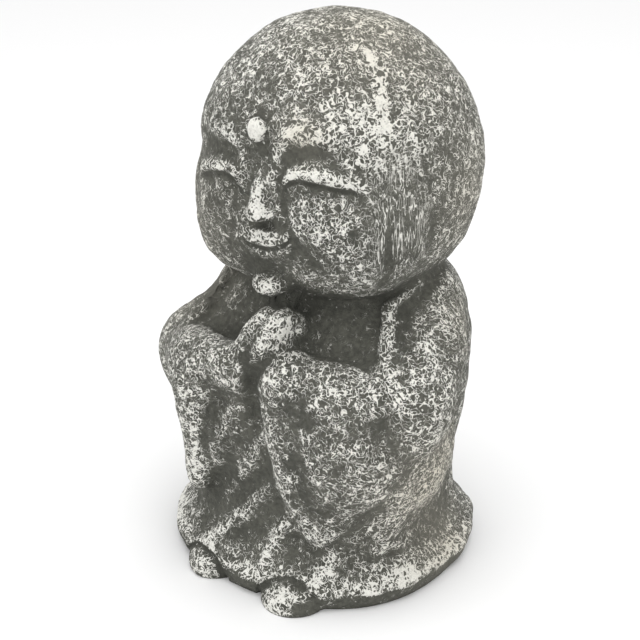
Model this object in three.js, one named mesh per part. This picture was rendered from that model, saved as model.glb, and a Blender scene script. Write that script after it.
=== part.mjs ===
// A cast-stone child monk with a large round head, standing with the palms
// pressed together. The robe has wide hanging sleeves, and two toes look out
// under its hem.
//
// The whole work is one casting, so it is one solid. Its form is a signed
// distance, soft unions of ellipsoids, limbs and cloth panels with the carving
// laid on as relief. The surface is a grid of rows and columns that is dropped
// onto that form from outside and then evened out along it.
//
// Frame: millimetres, +Z up, the face looks along -Y, the figure's left is +X,
// and the origin lies on the flat underside, below the middle of the figure.
import * as THREE from 'three';

// Driving dimensions in millimetres and degrees
const HEIGHT = 210;
const HEAD_WIDTH = 107.2;
const HEAD_DEPTH = 102.4;
const HEM_WIDTH = 120;
const HEM_DEPTH = 111.6;
const SHOULDER_WIDTH = 98;
const HEAD_TILT = 2;
const EYE_CREASE_DEPTH = 1.6;
const EYE_CREASE_WIDTH = 1.3;
const NOSE_HEIGHT = 6;
const MOUTH_DEPTH = 1.5;
const MOUTH_LINE_WIDTH = 1.3;

// The canon: proportions are counted in parts, 210 of them to the height
const PARTS_TALL = 210;
const PART = HEIGHT / PARTS_TALL;
const inParts = (millimetres) => millimetres / PART;

// Relief is only worked out this close to the form that carries it
const RELIEF_REACH = 14;

// The middle of the head
const HEAD_MIDDLE = 155.4;

// How finely the surface is divided
const COLUMNS = 70;
const FRONT_CROWDING = 0.55;
const EVENING_ROUNDS = 10;
const ROW_BANDS = [
  { name: 'hem', from: 0, to: 14, rows: 6 },
  { name: 'robe', from: 14, to: 84, rows: 15 },
  { name: 'arms and neck', from: 84, to: 124, rows: 16 },
  { name: 'lower face', from: 124, to: HEAD_MIDDLE, rows: 15 },
];
const DOME_BANDS = [
  { name: 'brow', from: 0, to: 30, rows: 13 },
  { name: 'crown', from: 30, to: 90, rows: 6 },
];

const STONE = new THREE.MeshStandardMaterial({ color: 0x8e8d86, roughness: 0.92, metalness: 0 });

// Small helpers on numbers and points
const clamp01 = (t) => Math.min(1, Math.max(0, t));
const radians = (degrees) => (degrees * Math.PI) / 180;
const bump = (x, width) => Math.exp(-((x / width) ** 2));
const smoothStep = (from, to, x) => {
  const t = clamp01((x - from) / (to - from));
  return t * t * (3 - 2 * t);
};
const minus = (a, b) => [a[0] - b[0], a[1] - b[1], a[2] - b[2]];
const dot = (a, b) => a[0] * b[0] + a[1] * b[1] + a[2] * b[2];
const cross = (a, b) => [
  a[1] * b[2] - a[2] * b[1],
  a[2] * b[0] - a[0] * b[2],
  a[0] * b[1] - a[1] * b[0],
];

// Joins two distances with a fillet of size k, and the same for a cut
function softUnion(a, b, k) {
  const h = Math.max(k - Math.abs(a - b), 0) / k;
  return Math.min(a, b) - h * h * k * 0.25;
}
const softCut = (a, b, k) => -softUnion(-a, b, k);

// An ellipsoid whose long axis may lean forward by pitch degrees
function ellipsoid(p, centre, radii, pitch = 0) {
  const q = minus(p, centre);
  const c = Math.cos(radians(pitch));
  const s = Math.sin(radians(pitch));
  const x = q[0];
  const y = q[1] * c + q[2] * s;
  const z = q[2] * c - q[1] * s;
  const near = Math.hypot(x / radii[0], y / radii[1], z / radii[2]);
  const steep = Math.hypot(x / radii[0] ** 2, y / radii[1] ** 2, z / radii[2] ** 2);
  return (near * (near - 1)) / Math.max(steep, 1e-9);
}

// A limb: round cones between joints of the given radii
function limb(p, joints, radii) {
  let nearest = Infinity;
  for (let i = 0; i + 1 < joints.length; i++) {
    const bone = minus(joints[i + 1], joints[i]);
    const q = minus(p, joints[i]);
    const t = clamp01(dot(q, bone) / dot(bone, bone));
    const off = Math.hypot(q[0] - t * bone[0], q[1] - t * bone[1], q[2] - t * bone[2]);
    nearest = Math.min(nearest, off - radii[i] - t * (radii[i + 1] - radii[i]));
  }
  return nearest;
}

// A panel of cloth: a triangle thickened by a radius
function clothPanel(p, a, b, c, thickness) {
  const corners = [a, b, c];
  const edges = corners.map((corner, i) => minus(corners[(i + 1) % 3], corner));
  const normal = cross(edges[0], minus(a, c));
  let inside = true;
  let nearest = Infinity;
  corners.forEach((corner, i) => {
    const q = minus(p, corner);
    const t = clamp01(dot(q, edges[i]) / dot(edges[i], edges[i]));
    const off = Math.hypot(q[0] - t * edges[i][0], q[1] - t * edges[i][1], q[2] - t * edges[i][2]);
    nearest = Math.min(nearest, off);
    inside = inside && dot(q, cross(edges[i], normal)) <= 0;
  });
  if (inside) {
    nearest = Math.abs(dot(minus(p, a), normal)) / Math.hypot(...normal);
  }
  return nearest - thickness;
}

// A smooth course through a few points of a plane
function course(points) {
  const spline = new THREE.SplineCurve(points.map(([x, y]) => new THREE.Vector2(x, y)));
  return spline.getPoints(6 * (points.length - 1)).map((point) => [point.x, point.y]);
}

// The height of a rounded ridge along a course, fading at both ends
function ridge(u, v, line, height, width) {
  let nearest = Infinity;
  let share = 0;
  for (let i = 0; i + 1 < line.length; i++) {
    const du = line[i + 1][0] - line[i][0];
    const dv = line[i + 1][1] - line[i][1];
    const t = clamp01(((u - line[i][0]) * du + (v - line[i][1]) * dv) / (du * du + dv * dv));
    const off = Math.hypot(u - line[i][0] - t * du, v - line[i][1] - t * dv);
    if (off < nearest) {
      nearest = off;
      share = (i + t) / (line.length - 1);
    }
  }
  const fade = Math.sqrt(Math.sin(Math.PI * Math.min(0.97, Math.max(0.03, share))));
  return height * fade * bump(nearest, width);
}

// The robe's sections at some heights: half width, reach to the front, reach
// to the back, and how far back the section's middle lies
const hemSide = inParts(HEM_WIDTH) / 2;
const hemReach = inParts(HEM_DEPTH) / 2;
const shoulderSide = inParts(SHOULDER_WIDTH) / 2;
const ROBE_SECTIONS = [
  { z: 0, side: hemSide - 3, front: hemReach - 0.4, back: hemReach - 5.2, middle: -0.5 },
  { z: 5, side: hemSide - 0.8, front: hemReach + 1.6, back: hemReach - 3, middle: -0.5 },
  { z: 8.5, side: hemSide - 0.8, front: hemReach + 1.4, back: hemReach - 3.2, middle: -0.3 },
  { z: 13, side: hemSide - 5.8, front: hemReach - 1.6, back: hemReach - 6.4, middle: 0 },
  { z: 20, side: hemSide - 10.8, front: hemReach - 6, back: hemReach - 8.6, middle: 0 },
  { z: 39, side: shoulderSide - 2.8, front: 46.5, back: 46.2, middle: 0.8 },
  { z: 57, side: shoulderSide - 0.6, front: 46, back: 48.4, middle: 2 },
  { z: 75, side: shoulderSide + 0.5, front: 46, back: 49.5, middle: 3 },
  { z: 92, side: shoulderSide - 0.5, front: 40, back: 48.5, middle: 4.5 },
  { z: 108, side: shoulderSide - 6, front: 31, back: 43, middle: 6 },
  { z: 126, side: shoulderSide - 23, front: 22, back: 26, middle: 6 },
];
const ROBE_SQUARENESS = 2.35;
const ROBE_TOP = 124;

// How far the hem swings to the figure's right
const HEM_SHIFT = 1.2;

// A size of the robe at height z, read smoothly between the sections
function robeSize(name, z) {
  const last = ROBE_SECTIONS.length - 1;
  const held = Math.min(ROBE_SECTIONS[last].z, Math.max(0, z));
  let i = 0;
  while (i < last - 1 && ROBE_SECTIONS[i + 1].z < held) i++;
  const rate = (j) => {
    const k = Math.min(last - 1, Math.max(0, j));
    const rise = ROBE_SECTIONS[k + 1][name] - ROBE_SECTIONS[k][name];
    return rise / (ROBE_SECTIONS[k + 1].z - ROBE_SECTIONS[k].z);
  };
  const span = ROBE_SECTIONS[i + 1].z - ROBE_SECTIONS[i].z;
  const t = (held - ROBE_SECTIONS[i].z) / span;
  const leave = ((rate(i - 1) + rate(i)) / 2) * span;
  const arrive = ((rate(i) + rate(i + 1)) / 2) * span;
  const start = ROBE_SECTIONS[i][name];
  const end = ROBE_SECTIONS[i + 1][name];
  return (
    start * (2 * t ** 3 - 3 * t ** 2 + 1) +
    leave * (t ** 3 - 2 * t ** 2 + t) +
    end * (3 * t ** 2 - 2 * t ** 3) +
    arrive * (t ** 3 - t ** 2)
  );
}

// Folds over the lap, seen from the front: ridges that fall to the figure's
// right between the sleeves, and small ones beside the feet
const LAP_FOLDS = [
  { line: [[9, 73], [1.5, 59], [-6.3, 45], [-15, 32]], height: 2.6, width: 3.8 },
  { line: [[14, 52], [3, 39], [-7, 27], [-15, 18], [-21, 11]], height: 2.8, width: 4.4 },
  { line: [[15, 33], [10, 23], [8, 13]], height: 2.4, width: 3.6 },
  { line: [[-24, 31], [-34, 29], [-44, 33]], height: 1.4, width: 4.5 },
  { line: [[30, 24], [31, 16], [28, 6]], height: 1.4, width: 3.2 },
];
const LAP_COURSES = LAP_FOLDS.map(({ line }) => course(line));
const LAP_TOP = 80;
const BACK_FOLDS = 9;
const BACK_FOLD_HEIGHT = 0.9;

function robe(p) {
  const side = robeSize('side', p[2]);
  const y = p[1] - robeSize('middle', p[2]);
  const reach = robeSize(y < 0 ? 'front' : 'back', p[2]);
  const x = Math.abs(p[0] + HEM_SHIFT * smoothStep(34, 12, p[2]));
  const n = ROBE_SQUARENESS;
  const share = ((x / side) ** n + (Math.abs(y) / reach) ** n) ** (1 / n);
  let distance = Math.max((share - 1) * Math.min(side, reach) * 0.92, p[2] - ROBE_TOP);
  if (y < 0 && p[2] < LAP_TOP && Math.abs(distance) < RELIEF_REACH) {
    LAP_FOLDS.forEach(({ height, width }, i) => {
      distance -= ridge(p[0], p[2], LAP_COURSES[i], height, width);
    });
  }
  const around = Math.atan2(p[0], -y);
  const tall = smoothStep(112, 80, p[2]) * smoothStep(2, 30, p[2]);
  const behind = smoothStep(1.6, 2.4, Math.abs(around)) * tall;
  const wave = Math.cos(around * BACK_FOLDS + 0.6 * Math.sin(p[2] * 0.05));
  return distance - BACK_FOLD_HEIGHT * behind * wave;
}

// The toe ends, and the hem's arch over them
const FEET = {
  left: { centre: [19, -48.5, 2], radii: [13.2, 14, 8.2] },
  right: { centre: [17.5, -48.5, 2], radii: [11.8, 14, 8.2] },
};
const HEM_GAP = 0.9;
const ARCH_DEPTH = 52;

function foot(q, isLeft, grow) {
  const { centre, radii } = isLeft ? FEET.left : FEET.right;
  return ellipsoid(q, centre, radii.map((radius) => radius + grow));
}

// The bent arms from shoulder to elbow, the right one lower
const ARMS = {
  left: { joints: [[34, 10, 106], [45, -3, 93], [48.5, -21, 79]], radii: [14.5, 15, 14.5] },
  right: { joints: [[33, 10, 105], [42, -3, 87], [50.3, -21, 71]], radii: [14, 13.5, 14] },
};

function arm(q, isLeft) {
  const { joints, radii } = isLeft ? ARMS.left : ARMS.right;
  return limb(q, joints, radii);
}

// The sleeves: a forearm, the cloth's front edge, its panels and its fullness
const ELBOW = [48, -20, 79];
const RIGHT_ELBOW = [49, -20, 75];
const FORE_ARM_RADII = [13, 10.5, 8.5];
const LEFT_SLEEVE = {
  foreArm: [ELBOW, [33, -37.5, 85], [11.5, -43, 89]],
  edge: [[11.5, -43, 89], [10.5, -44, 79], [13.5, -44.5, 64], [17, -42.5, 45], [23.8, -39, 30]],
  edgeRadii: [8.5, 8.5, 8.2, 7.5, 7.5],
  wrist: [13, -42, 86],
  tip: [26, -37, 34],
  flank: [43, -14, 50],
  thinner: 3.5,
  fullness: [
    { centre: [34, -14, 62], radii: [20, 26, 24] },
    { centre: [30, -35, 64], radii: [20, 15, 24] },
  ],
};
const RIGHT_SLEEVE = {
  foreArm: [RIGHT_ELBOW, [33, -40.5, 84], [8, -49.5, 90]],
  edge: [[23, -47.5, 84], [27.5, -46.5, 73], [29, -46, 58], [31, -43.5, 40]],
  edgeRadii: [4.5, 4.6, 4.2, 3],
  wrist: [4, -46, 82],
  top: [27, -46, 76],
  low: [28.5, -44.5, 35],
  flank: [47, -19, 38],
  lining: { centre: [9, -36, 60], radii: [25, 12.5, 28] },
};

function leftSleeve(q) {
  const { wrist, tip, flank, thinner, fullness, edge, edgeRadii, foreArm } = LEFT_SLEEVE;
  const thick = thinner + 4.5 * smoothStep(-14, -36, q[1]);
  let cloth = clothPanel(q, wrist, tip, ELBOW, thick);
  cloth = softUnion(cloth, clothPanel(q, tip, flank, ELBOW, thick), 6);
  cloth = softUnion(cloth, ellipsoid(q, fullness[0].centre, fullness[0].radii), 14);
  cloth = softUnion(cloth, ellipsoid(q, fullness[1].centre, fullness[1].radii), 12);
  cloth = softUnion(cloth, limb(q, edge, edgeRadii), 5);
  return softUnion(limb(q, foreArm, FORE_ARM_RADII), cloth, 7);
}

function rightSleeve(q) {
  const { wrist, top, low, flank, lining, edge, edgeRadii, foreArm } = RIGHT_SLEEVE;
  const thick = 2 + 8.5 * clamp01((q[2] - low[2]) / (RIGHT_ELBOW[2] - low[2]));
  let cloth = clothPanel(q, wrist, low, top, 3.5);
  cloth = softUnion(cloth, ellipsoid(q, lining.centre, lining.radii), 8);
  cloth = softUnion(cloth, limb(q, edge, edgeRadii), 5);
  const outer = clothPanel(q, top, low, RIGHT_ELBOW, thick);
  cloth = softUnion(cloth, softUnion(outer, clothPanel(q, low, flank, RIGHT_ELBOW, thick), 8), 6);
  return softUnion(limb(q, foreArm, FORE_ARM_RADII), cloth, 7);
}

// The rolled collar runs from the nape over the shoulder into the arm's crook
const COLLAR = [
  [22, 30, 116],
  [38, 14, 118],
  [39.5, -3, 118.5],
  [36, -14, 112],
  [40, -21, 102],
  [43.5, -27, 93],
  [45, -32, 86],
];
const COLLAR_RADIUS = 2.5;

// Palms pressed together, leaning back and to the figure's left at the finger tips
const PALM = { centre: [2.9, -41.5, 100.5], radii: [6, 11, 13], lean: -22, middle: 1.2, roll: 0.35 };
const PALM_WEB = { joints: [[3, -42, 97], [5, -32, 101]], radii: [4, 6] };

function palm(p, side) {
  const x = p[0] - PALM.middle - PALM.roll * (p[2] - PALM.centre[2]);
  return ellipsoid([side * x, p[1], p[2]], PALM.centre, PALM.radii, PALM.lean);
}

// The head: an egg-round ball, with the face laid on it as relief. The relief
// reads u, the way around from the nose, and v, the height, both in parts.
const HEAD = {
  centre: [0, 5.6, HEAD_MIDDLE],
  radii: [inParts(HEAD_WIDTH) / 2, inParts(HEAD_DEPTH) / 2, PARTS_TALL - HEAD_MIDDLE],
};
const AROUND = 49;
const BROW_LINE = [[6, 160], [8, 170], [14, 177], [23, 179.5], [31, 178]];
const CHEEK_LINE = [[9.6, 167], [10, 158], [10.8, 149], [13, 142], [17.5, 135], [23, 128]];
const BROW = course(BROW_LINE);
const CHEEK_GROOVE = course(CHEEK_LINE);
const CHIN = { centre: [-1.5, -34.8, 118.6], radii: [6.6, 6.2, 4.5] };
const BROW_BEAD = { centre: [0, -41.9, 177.5], radii: [3.7, 3.4, 4.2] };

// Soft hills and hollows on both sides of the face: how far from the nose and
// how high their middles lie, their widths both ways, and their heights
const TEMPLE_HOLLOW = { away: 42, up: 160, wide: 15, tall: 9, height: -2.4 };
const JOWL = { away: 44, up: 131, wide: 17, tall: 14, height: 4.6 };
const CHEEK = { away: 25, up: 145, wide: 9, tall: 8, height: 1.6 };
const INNER_SOCKET = { away: 15, up: 169.5, wide: 5.5, tall: 4, height: -2 };
const OUTER_SOCKET = { away: 25, up: 171, wide: 9, tall: 4, height: -1.5 };
const NOSTRIL = { away: 3.4, up: 144.3, wide: 2.2, tall: 1.4, height: -1.1 };
const UPPER_LIP = { away: 0, up: 138.5, wide: 9, tall: 4.2, height: 2.2 };
const UNDER_LIPS = { away: 0, up: 126.5, wide: 9, tall: 2.4, height: -0.8 };
const FACE_HILLS = [
  TEMPLE_HOLLOW, JOWL, CHEEK, INNER_SOCKET, OUTER_SOCKET, NOSTRIL, UPPER_LIP, UNDER_LIPS,
];
const FACE_FLAT = { depth: 3.6, wide: 13, from: 118, full: 136, fading: 166, to: 178 };
const JAW = { away: 38, up: 121, wide: 16, tall: 9, height: 2, lopsided: 30 };
const EYE = { inner: 10, length: 32.2, start: 156, rise: 7.7, fall: 8 };
const LID = { starts: 8.8, full: 11, fading: 32, ends: 43, over: 2.8, tall: 2.5, height: 1.9 };
const NOSE = { top: 171, root: 163, bridge: 167, length: 21, end: 145.4, wing: 8 };
const MOUTH = { up: 134, rise: 3.3, half: 10.5, fading: 11, ends: 14 };
const EAR = {
  front: [46, 50],
  back: [64, 54],
  bottom: [116, 128],
  top: [164, 150],
  groove: { away: 45.3, wide: 1.7, bottom: [112, 122], top: [148, 134] },
};

// The height of a closed eye's crease at a distance from the nose
function eyeArc(a) {
  const s = clamp01((a - EYE.inner) / EYE.length) * 1.15;
  return EYE.start + EYE.rise * (1 - (1 - Math.min(s, 1)) ** 9) - EYE.fall * s ** 1.4;
}

function faceRelief(u, v) {
  const a = Math.abs(u);
  let relief = 0;
  for (const { away, up, wide, tall, height } of FACE_HILLS) {
    relief += height * bump(a - away, wide) * bump(v - up, tall);
  }
  const { depth, wide, from, full, fading, to } = FACE_FLAT;
  relief -= depth * bump(u, wide) * smoothStep(from, full, v) * smoothStep(to, fading, v);
  relief += (JAW.height - u / JAW.lopsided) * bump(a - JAW.away, JAW.wide) * bump(v - JAW.up, JAW.tall);
  relief += ridge(a, v, BROW, 1.2, 3.6);
  // Lids over the closed eyes
  const alongLid = smoothStep(LID.starts, LID.full, a) * smoothStep(LID.ends, LID.fading, a);
  const aboveCrease = v - eyeArc(a);
  relief += alongLid * LID.height * bump(aboveCrease - LID.over, LID.tall);
  relief -= alongLid * inParts(EYE_CREASE_DEPTH) * bump(aboveCrease + 0.2, inParts(EYE_CREASE_WIDTH));
  relief -= alongLid * 0.7 * smoothStep(0.3, -0.6, aboveCrease) * smoothStep(-9, 0, aboveCrease);
  // Nose, highest and widest at its tip, with a flat underside
  const down = clamp01((NOSE.bridge - v) / NOSE.length);
  const noseSide = 2.2 + 5.8 * down ** 2.2;
  const noseEnd = NOSE.end + 2.2 * clamp01(a / NOSE.wing) ** 1.6;
  const noseSection = Math.exp(-((a / (0.8 * noseSide)) ** 2.6));
  const noseRise = 0.2 + inParts(NOSE_HEIGHT) * down ** 1.4;
  relief += noseRise * noseSection * smoothStep(-0.9, 0.9, v - noseEnd) * smoothStep(NOSE.top, NOSE.root, v);
  relief -= ridge(a, v, CHEEK_GROOVE, 1.2, 1.8);
  // Mouth, a smile between two soft lips
  const overMouth = v - MOUTH.up - MOUTH.rise * Math.min(1.8, (a / MOUTH.half) ** 2);
  const alongMouth = smoothStep(MOUTH.ends, MOUTH.fading, a);
  relief += alongMouth * 0.7 * bump(overMouth - 1.8, 1.6);
  relief -= alongMouth * inParts(MOUTH_DEPTH) * bump(overMouth, inParts(MOUTH_LINE_WIDTH));
  relief += alongMouth * 0.9 * bump(overMouth + 2.8, 2.4);
  // Long low ears with a groove before them
  const { groove } = EAR;
  const earWidth = smoothStep(...EAR.front, a) * smoothStep(...EAR.back, a);
  const earLength = smoothStep(...EAR.bottom, v) * smoothStep(...EAR.top, v);
  const grooveLength = smoothStep(...groove.bottom, v) * smoothStep(...groove.top, v);
  relief += 0.8 * earWidth * earLength;
  relief -= 0.9 * bump(a - groove.away, groove.wide) * grooveLength;
  return relief;
}

function head(p) {
  const q = minus(p, HEAD.centre);
  const c = Math.cos(radians(HEAD_TILT));
  const s = Math.sin(radians(HEAD_TILT));
  const r = [c * q[0] + s * q[2], q[1], c * q[2] - s * q[0]];
  let distance = ellipsoid(r, [0, 0, 0], HEAD.radii);
  if (Math.abs(distance) < RELIEF_REACH && r[1] < 16) {
    distance -= faceRelief(Math.atan2(r[0], -r[1]) * AROUND, r[2] + HEAD.centre[2]);
  }
  distance = softUnion(distance, ellipsoid(p, CHIN.centre, CHIN.radii), 4);
  return softUnion(distance, ellipsoid(p, BROW_BEAD.centre, BROW_BEAD.radii), 2);
}

// The whole figure's signed distance at a point, in parts
function figure(p) {
  let distance = robe(p);
  const sides = [1, -1].map((sign) => ({ isLeft: sign > 0, q: [sign * p[0], p[1], p[2]] }));
  for (const { q, isLeft } of sides) {
    const arch = Math.max(foot(q, isLeft, HEM_GAP), q[1] + ARCH_DEPTH);
    distance = softCut(distance, arch, 2);
  }
  const lowFlank = smoothStep(-42, -27, p[1]) * smoothStep(60, 35, p[2]);
  const sleeveFillet = 4 + 9 * smoothStep(-36, -22, p[1]) + 8 * lowFlank;
  for (const { q, isLeft } of sides) {
    distance = softUnion(distance, arm(q, isLeft), 10);
    distance = softUnion(distance, isLeft ? leftSleeve(q) : rightSleeve(q), sleeveFillet);
  }
  for (const { q } of sides) {
    distance = softUnion(distance, limb(q, COLLAR, COLLAR.map(() => COLLAR_RADIUS)), 3.5);
  }
  distance = softUnion(distance, limb(p, PALM_WEB.joints, PALM_WEB.radii), 6);
  const palmFillet = 4 + 5 * smoothStep(-42, -32, p[1]);
  distance = softUnion(distance, softUnion(palm(p, 1), palm(p, -1), 2.2), palmFillet);
  distance = softUnion(distance, head(p), 2.2);
  for (const { q, isLeft } of sides) {
    distance = softUnion(distance, foot(q, isLeft, 0), 1.2);
  }
  return distance;
}

// The form's outward slope at a point, from the four corners of a tetrahedron
const CORNERS = [[1, -1, -1], [-1, -1, 1], [-1, 1, -1], [1, 1, 1]];

function slope(p) {
  const step = 0.15;
  const sum = [0, 0, 0];
  for (const corner of CORNERS) {
    const distance = figure(p.map((value, axis) => value + step * corner[axis]));
    corner.forEach((sign, axis) => {
      sum[axis] += (sign * distance) / (4 * step);
    });
  }
  return sum;
}

// Walks in from outside until the form is met
function dropOnto(origin, direction) {
  let reach = 95;
  let p = origin;
  for (let i = 0; i < 160; i++) {
    p = origin.map((value, axis) => value + reach * direction[axis]);
    const distance = figure(p);
    if (distance < 0.02) break;
    reach -= Math.max(0.03, distance * 0.8);
  }
  return p;
}

// Where each row starts: a height on the middle axis and a climb in degrees
function rowStarts() {
  const rows = [];
  for (const band of ROW_BANDS) {
    for (let i = 0; i < band.rows; i++) {
      rows.push({ z: band.from + ((band.to - band.from) * i) / band.rows, climb: 0 });
    }
  }
  for (const band of DOME_BANDS) {
    for (let i = 0; i < band.rows; i++) {
      rows.push({ z: HEAD.centre[2], climb: band.from + ((band.to - band.from) * i) / band.rows });
    }
  }
  return rows;
}

// Columns stand closer together at the front, where the carving is
function columnAngle(index) {
  const turn = (2 * Math.PI * index) / COLUMNS;
  return turn - FRONT_CROWDING * Math.sin(turn);
}

const LOWEST_FREE_ROW = 1.4;

// Puts a point that is near the form onto it, along a known slope
function settle(p, normal) {
  const share = figure(p) / Math.max(dot(normal, normal), 0.25);
  return p.map((value, axis) => value - share * normal[axis]);
}

function meanPoint(points) {
  return [0, 1, 2].map((axis) => points.reduce((sum, p) => sum + p[axis], 0) / points.length);
}

// The crown's point closes the top row
function crownOver(row) {
  const middle = meanPoint(row);
  return settle(middle, slope(middle));
}

// Moves each point towards the middle of its neighbours, along the surface
function evenOut(grid) {
  const next = grid.map((row) => [...row]);
  const crown = crownOver(grid[grid.length - 1]);
  for (let j = 1; j < grid.length; j++) {
    for (let i = 0; i < COLUMNS; i++) {
      const p = grid[j][i];
      const above = j + 1 < grid.length ? grid[j + 1][i] : crown;
      const near = [grid[j - 1][i], above, grid[j][(i + 1) % COLUMNS], grid[j][(i + COLUMNS - 1) % COLUMNS]];
      const middle = meanPoint(near);
      const normal = slope(p);
      const pull = minus(middle, p);
      const along = dot(pull, normal) / Math.max(dot(normal, normal), 1e-6);
      let moved = p.map((value, axis) => value + 0.5 * (pull[axis] - along * normal[axis]));
      moved = settle(moved, normal);
      moved = settle(moved, slope(moved));
      moved[2] = Math.max(LOWEST_FREE_ROW, moved[2]);
      next[j][i] = moved;
    }
  }
  return next;
}

// Splits a four-sided cell into two triangles along its shorter diagonal
function splitCell(points, a, b, c, d) {
  const first = Math.hypot(...minus(points[c], points[a]));
  const second = Math.hypot(...minus(points[d], points[b]));
  return first <= second ? [a, b, c, a, c, d] : [a, b, d, b, c, d];
}

function figureGeometry() {
  let grid = rowStarts().map(({ z, climb }) => {
    const back = HEAD.centre[1] * smoothStep(0, HEAD.centre[2], z);
    const flat = Math.cos(radians(climb));
    const rise = Math.sin(radians(climb));
    return Array.from({ length: COLUMNS }, (_, i) => {
      const angle = columnAngle(i);
      return dropOnto([0, back, z], [flat * Math.sin(angle), -flat * Math.cos(angle), rise]);
    });
  });
  for (let round = 0; round < EVENING_ROUNDS; round++) {
    grid = evenOut(grid);
  }
  const points = [...grid.flat(), crownOver(grid[grid.length - 1]), [0, 0, 0]];
  const faces = [];
  const top = points.length - 2;
  const bottom = points.length - 1;
  grid.forEach((row, j) => {
    row.forEach((_, i) => {
      const here = j * COLUMNS + i;
      const beside = j * COLUMNS + ((i + 1) % COLUMNS);
      if (j === 0) faces.push(bottom, beside, here);
      if (j + 1 === grid.length) {
        faces.push(here, beside, top);
      } else {
        faces.push(...splitCell(points, here, beside, beside + COLUMNS, here + COLUMNS));
      }
    });
  });
  const geometry = new THREE.BufferGeometry();
  const positions = new Float32Array(points.flat().map((value) => value * PART));
  geometry.setAttribute('position', new THREE.BufferAttribute(positions, 3));
  geometry.setIndex(faces);
  geometry.computeVertexNormals();
  return geometry;
}

const monk = new THREE.Mesh(figureGeometry(), STONE);
monk.name = 'monk_statue';

const statue = new THREE.Group();
statue.add(monk);

export default statue;
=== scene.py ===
import math

import bpy
import numpy as np
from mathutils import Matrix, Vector


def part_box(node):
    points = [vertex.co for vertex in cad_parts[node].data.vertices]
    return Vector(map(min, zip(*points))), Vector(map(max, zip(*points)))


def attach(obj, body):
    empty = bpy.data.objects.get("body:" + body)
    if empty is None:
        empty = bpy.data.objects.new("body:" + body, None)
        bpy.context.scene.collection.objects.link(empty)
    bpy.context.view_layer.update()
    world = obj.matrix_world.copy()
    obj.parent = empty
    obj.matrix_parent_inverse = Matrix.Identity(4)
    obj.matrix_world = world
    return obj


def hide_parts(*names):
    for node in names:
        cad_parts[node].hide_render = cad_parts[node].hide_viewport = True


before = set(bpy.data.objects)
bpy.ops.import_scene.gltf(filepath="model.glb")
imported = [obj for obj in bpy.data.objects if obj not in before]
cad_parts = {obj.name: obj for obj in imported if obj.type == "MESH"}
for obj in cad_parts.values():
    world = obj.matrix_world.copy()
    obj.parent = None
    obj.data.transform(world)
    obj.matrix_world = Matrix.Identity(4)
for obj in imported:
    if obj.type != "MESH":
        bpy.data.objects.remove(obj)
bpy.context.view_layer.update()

bl_info = {
    "name": "Cast-stone monk",
    "version": (1, 0, 0),
    "blender": (4, 5, 0),
    "location": "3D View > Sidebar > Monk",
    "description": "Builds a dry-brushed cast-stone monk figure and a small studio for it",
    "category": "Add Mesh",
}

# The frame's own sizes
NODE = "monk_statue"
NODE_LOW, NODE_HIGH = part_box(NODE)
FRAME_HEIGHT = round(float(NODE_HIGH[2] - NODE_LOW[2]), 3)
PARTS_TALL = 210.0


class MonkShape(bpy.types.PropertyGroup):
    """Sizes of the figure that a user would change."""

    height: bpy.props.FloatProperty(
        name="Height", description="Floor to crown", default=FRAME_HEIGHT, min=0.05, unit="LENGTH")
    head_tilt: bpy.props.FloatProperty(
        name="Head tilt", description="Roll of the head to its right",
        default=math.radians(2.0), subtype="ANGLE")
    unevenness: bpy.props.FloatProperty(
        name="Unevenness", description="Height of the casting's gentle waves",
        default=0.00035, min=0.0, unit="LENGTH")
    finger_groove: bpy.props.FloatProperty(
        name="Finger groove", description="Depth of the grooves between the fingers",
        default=0.0006, min=0.0, unit="LENGTH")
    bubble_depth: bpy.props.FloatProperty(
        name="Bubble depth", description="Depth of the holes that air bubbles left",
        default=0.0012, min=0.0, unit="LENGTH")


class StoneFinish(bpy.types.PropertyGroup):
    """Colours and marks of the dry-brushed stone."""

    # Dark stone is the mottle's darker tone and also the painted shade that closed-in places are darkened
    # towards
    dark_stone_and_shade: bpy.props.FloatVectorProperty(
        name="Dark stone", description="Stone in the hollows", subtype="COLOR", size=3,
        default=(0.064, 0.0645, 0.0545), min=0.0, max=1.0)
    worn_stone: bpy.props.FloatVectorProperty(
        name="Worn stone", description="Stone on open surfaces", subtype="COLOR", size=3,
        default=(0.112, 0.112, 0.094), min=0.0, max=1.0)
    brushed_white: bpy.props.FloatVectorProperty(
        name="Brushed white", description="Paint on the high points", subtype="COLOR", size=3,
        default=(0.84, 0.83, 0.775), min=0.0, max=1.0)
    warm_white: bpy.props.FloatVectorProperty(
        name="Warm white", description="Paint where it has yellowed", subtype="COLOR", size=3,
        default=(0.66, 0.61, 0.50), min=0.0, max=1.0)
    stroke_spacing: bpy.props.FloatProperty(
        name="Stroke spacing", description="Distance between brush marks",
        default=0.003, min=0.0005, unit="LENGTH")
    brush_load: bpy.props.FloatProperty(
        name="Brush load", description="How much paint lies on the stone",
        default=0.5, min=0.0, max=1.0, subtype="FACTOR")
    grain_height: bpy.props.FloatProperty(
        name="Grain height", description="Height of the stone's grain",
        default=0.00022, min=0.0, unit="LENGTH")


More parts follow.
